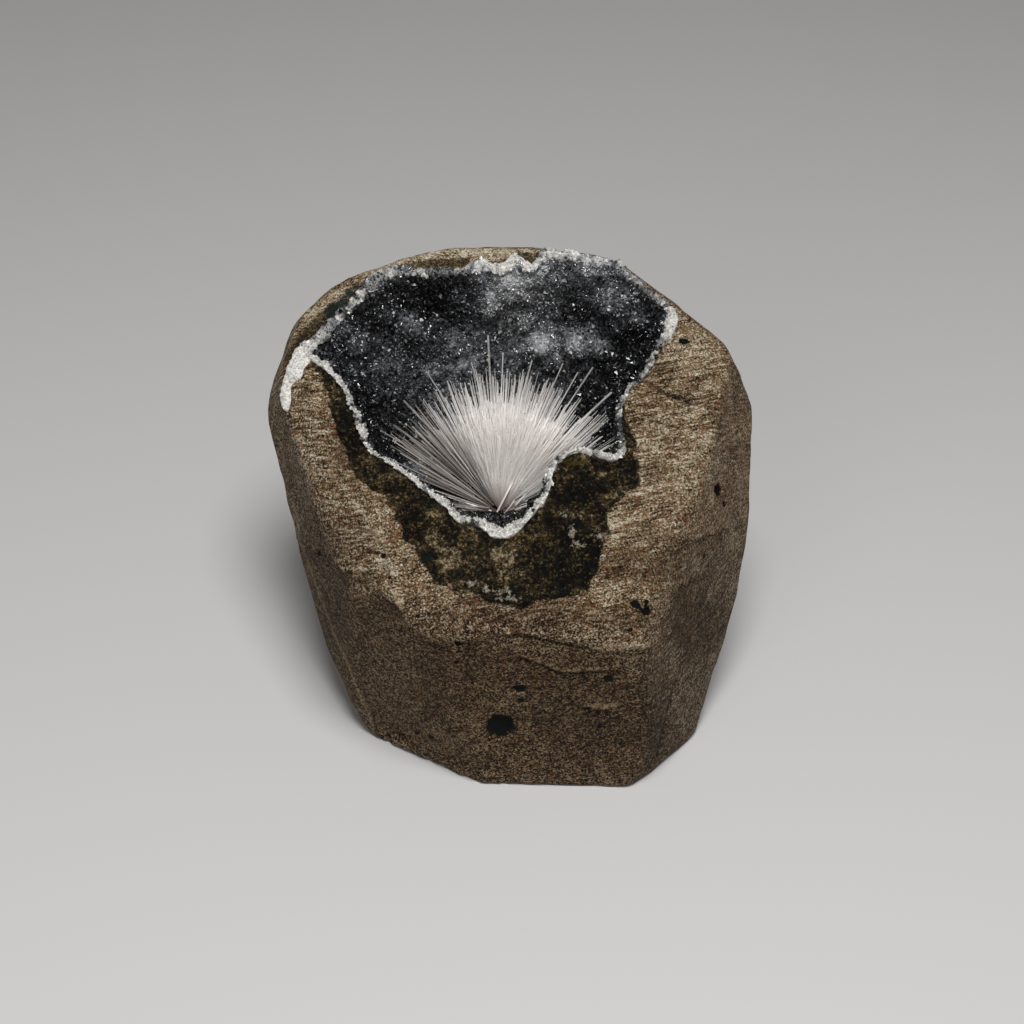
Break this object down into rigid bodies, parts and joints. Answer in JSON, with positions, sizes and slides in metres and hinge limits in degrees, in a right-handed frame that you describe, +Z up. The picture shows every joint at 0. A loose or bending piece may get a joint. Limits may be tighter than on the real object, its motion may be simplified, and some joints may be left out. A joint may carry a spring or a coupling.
{
  "type": "scolecite mineral specimen on quartz-lined basalt",
  "caption": "Spray of white scolecite needles growing in a quartz-lined hollow of a trimmed basalt block, for display on a flat surface.",
  "frame": {"origin": "centre of the specimen's box at the height of the flat base it rests on", "axes": "+X to the right along the length, +Y to the back, +Z up; the hollow opens up and to the front"},
  "size_m": [0.1614, 0.1336, 0.1497],
  "materials": {
    "basalt": "ground, matt, with a few gas bubbles",
    "quartz": "milky at the broken rim, dark and sparkling with small crystals inside",
    "scolecite": "silky white needles"
  },
  "bodies": {
    "root": {"basalt_matrix": "basalt", "quartz_crust": "quartz", "scolecite_spray": "scolecite"}
  },
  "joints": []
}
